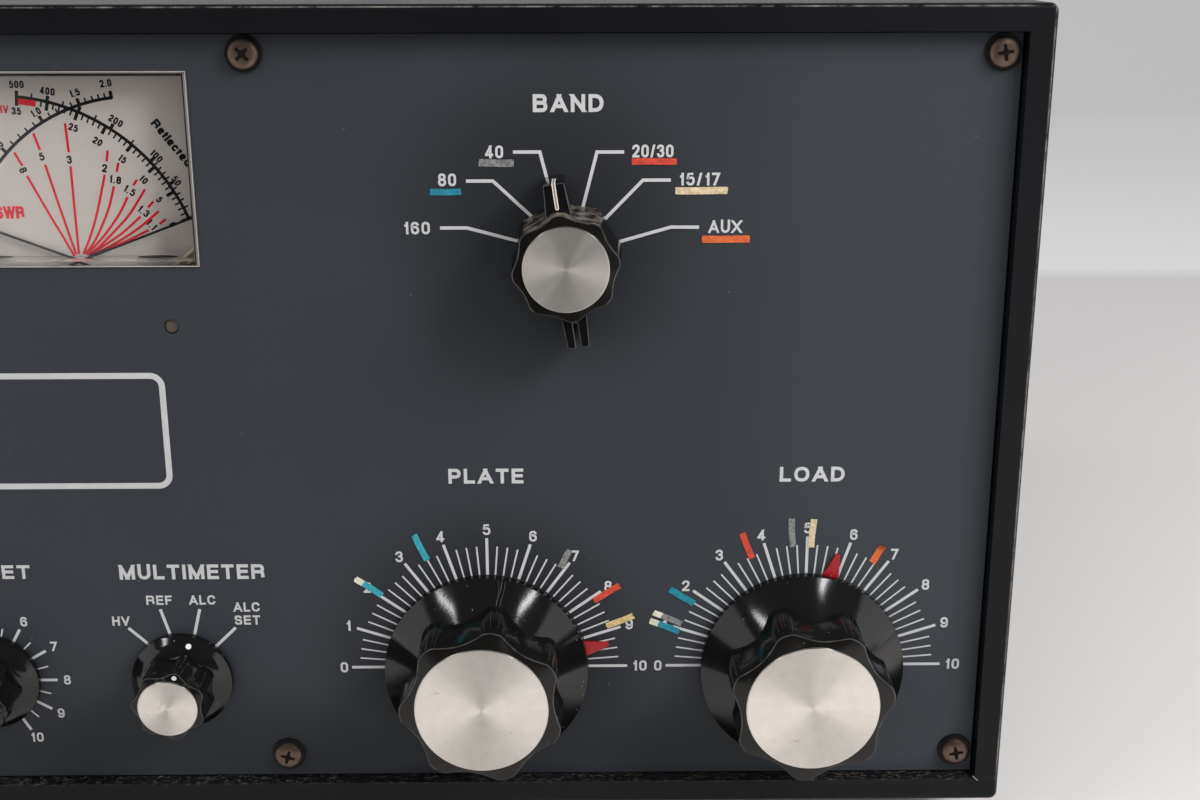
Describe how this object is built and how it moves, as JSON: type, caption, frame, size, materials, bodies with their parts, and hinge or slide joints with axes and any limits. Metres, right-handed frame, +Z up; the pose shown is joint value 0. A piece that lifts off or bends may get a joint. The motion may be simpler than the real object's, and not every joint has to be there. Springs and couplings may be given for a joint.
{
  "type": "hf linear amplifier",
  "caption": "Desktop radio-frequency power amplifier: painted cabinet, recessed panel with cross-needle meters, band switch, geared tuning knobs, tube deck, power supply and rear fan.",
  "frame": {"origin": "on the resting surface, under the middle of the whole object's bounding box", "axes": "+X to the right of somebody facing the front panel, +Y from front to back, +Z up"},
  "size_m": [0.3596, 0.3938, 0.2159],
  "materials": {
    "cabinet_paint": "satin black enamel",
    "panel_paint": "matt blue-grey enamel",
    "screw_steel": "worn, browned plating, black washers",
    "foot_rubber": "matt",
    "knob_plastic": "glossy moulded",
    "cap_aluminium": "spun, radial sheen",
    "shaft_brass": "turned",
    "drive_brass": "turned",
    "switch_ceramic": "glazed ceramic",
    "switch_body": "phenolic",
    "pointer_red": "painted",
    "vane_aluminium": "mill",
    "rocker_plastic": "satin",
    "bezel_plastic": "satin",
    "lamp_red": "translucent",
    "meter_black": "moulded",
    "meter_clear": "clear acrylic",
    "dial_enamel": "matt off-white enamel",
    "needle_paint": "matt black",
    "deck_aluminium": "mill",
    "socket_ceramic": "glazed ceramic",
    "tube_glass": "clear",
    "coil_copper": "silver-plated copper, tarnished",
    "core_steel": "varnished laminations",
    "winding_copper": "taped winding",
    "board_fibre": "glass-fibre board",
    "can_sleeve": "shrink sleeve",
    "relay_case": "moulded",
    "fan_plastic": "moulded",
    "socket_nickel": "nickel",
    "fuse_plastic": "moulded",
    "gland_plastic": "moulded"
  },
  "bodies": {
    "cabinet": {"front_frame": "cabinet_paint", "cabinet_cover": "cabinet_paint", "bottom_pan": "cabinet_paint", "front_panel": "panel_paint", "rear_panel": "cabinet_paint", "screws_and_washers": "screw_steel", "rubber_feet": "foot_rubber", "band_switch_frame": "switch_ceramic", "plate_capacitor_frame": "vane_aluminium", "load_capacitor_frame": "vane_aluminium", "ball_drives": "drive_brass", "multimeter_switch": "switch_body", "alc_control": "switch_body", "rocker_frames": "bezel_plastic", "panel_lamps": "lamp_red", "meter_cases": "meter_black", "meter_windows": "meter_clear", "meter_dials": "dial_enamel", "tube_deck": "deck_aluminium", "tube_socket": "socket_ceramic", "power_tube": "tube_glass", "anode_cooler": "cap_aluminium", "tank_coil": "coil_copper", "transformer_core": "core_steel", "transformer_windings": "winding_copper", "capacitor_board": "board_fibre", "filter_capacitors": "can_sleeve", "antenna_relay": "relay_case", "fan_frame": "fan_plastic", "coax_sockets": "socket_nickel", "phono_jacks": "socket_nickel", "ground_post": "socket_nickel", "fuse_holders": "fuse_plastic", "cord_gland": "gland_plastic"},
    "band_control": {"band_knob": "knob_plastic", "band_knob_cap": "cap_aluminium", "band_switch_shaft": "shaft_brass"},
    "plate_tuning_knob": {"plate_knob": "knob_plastic", "plate_knob_cap": "cap_aluminium", "plate_drive_shaft": "shaft_brass"},
    "plate_capacitor": {"plate_pointer": "pointer_red", "plate_capacitor_rotor": "vane_aluminium"},
    "load_tuning_knob": {"load_knob": "knob_plastic", "load_knob_cap": "cap_aluminium", "load_drive_shaft": "shaft_brass"},
    "load_capacitor": {"load_pointer": "pointer_red", "load_capacitor_rotor": "vane_aluminium"},
    "multimeter_selector": {"multimeter_knob": "knob_plastic", "multimeter_knob_cap": "cap_aluminium", "multimeter_shaft": "shaft_brass"},
    "alc_level": {"alc_knob": "knob_plastic", "alc_knob_cap": "cap_aluminium", "alc_shaft": "shaft_brass"},
    "power_switch": {"power_rocker": "rocker_plastic"},
    "standby_switch": {"standby_rocker": "rocker_plastic"},
    "reflected_pointer": {"reflected_needle": "needle_paint"},
    "forward_pointer": {"forward_needle": "needle_paint"},
    "grid_pointer": {"grid_needle": "needle_paint"},
    "plate_pointer_needle": {"plate_needle": "needle_paint"},
    "fan": {"fan_rotor": "fan_plastic"}
  },
  "joints": [
    {"name": "band_switch_turn", "type": "hinge", "parent": "cabinet", "child": "band_control", "pos_m": [0.0658, -0.17255, 0.1578], "axis": [0, 1, 0], "range_deg": [-60, 90]},
    {"name": "plate_tuning_turn", "type": "hinge", "parent": "cabinet", "child": "plate_capacitor", "pos_m": [0.0445, -0.17255, 0.0502], "axis": [0, 1, 0], "range_deg": [-168.3, 11.7]},
    {"name": "plate_knob_turn", "type": "hinge", "parent": "cabinet", "child": "plate_tuning_knob", "pos_m": [0.0445, -0.17255, 0.0502], "axis": [0, 1, 0], "range_deg": [-1009.8, 70.2]},
    {"name": "load_tuning_turn", "type": "hinge", "parent": "cabinet", "child": "load_capacitor", "pos_m": [0.1252, -0.17255, 0.0502], "axis": [0, 1, 0], "range_deg": [-105.3, 74.7]},
    {"name": "load_knob_turn", "type": "hinge", "parent": "cabinet", "child": "load_tuning_knob", "pos_m": [0.1252, -0.17255, 0.0502], "axis": [0, 1, 0], "range_deg": [-631.8, 448.2]},
    {"name": "multimeter_turn", "type": "hinge", "parent": "cabinet", "child": "multimeter_selector", "pos_m": [-0.0335, -0.17255, 0.0477], "axis": [0, 1, 0], "range_deg": [-60, 30]},
    {"name": "alc_turn", "type": "hinge", "parent": "cabinet", "child": "alc_level", "pos_m": [-0.0829, -0.17255, 0.0477], "axis": [0, 1, 0], "range_deg": [-90, 210]},
    {"name": "power_rocker_tilt", "type": "hinge", "parent": "cabinet", "child": "power_switch", "pos_m": [-0.15, -0.17105, 0.0507], "axis": [1, 0, 0], "range_deg": [-16, 0]},
    {"name": "standby_rocker_tilt", "type": "hinge", "parent": "cabinet", "child": "standby_switch", "pos_m": [-0.122, -0.17105, 0.0507], "axis": [1, 0, 0], "range_deg": [-16, 0]},
    {"name": "reflected_needle_swing", "type": "hinge", "parent": "cabinet", "child": "reflected_pointer", "pos_m": [-0.067, -0.17255, 0.1498], "axis": [0, -1, 0], "range_deg": [0, 64.4]},
    {"name": "forward_needle_swing", "type": "hinge", "parent": "cabinet", "child": "forward_pointer", "pos_m": [-0.0364, -0.17255, 0.1498], "axis": [0, 1, 0], "range_deg": [0, 64.4]},
    {"name": "grid_needle_swing", "type": "hinge", "parent": "cabinet", "child": "grid_pointer", "pos_m": [-0.1379, -0.17255, 0.1498], "axis": [0, -1, 0], "range_deg": [0, 64.4]},
    {"name": "plate_needle_swing", "type": "hinge", "parent": "cabinet", "child": "plate_pointer_needle", "pos_m": [-0.1073, -0.17255, 0.1498], "axis": [0, 1, 0], "range_deg": [0, 64.4]},
    {"name": "fan_spin", "type": "hinge", "parent": "cabinet", "child": "fan", "pos_m": [0.092, -0.17255, 0.1167], "axis": [0, 1, 0], "continuous": true}
  ],
  "couplings": [
    {"joint": "plate_knob_turn", "follows": "plate_tuning_turn", "ratio": 6},
    {"joint": "load_knob_turn", "follows": "load_tuning_turn", "ratio": 6}
  ]
}
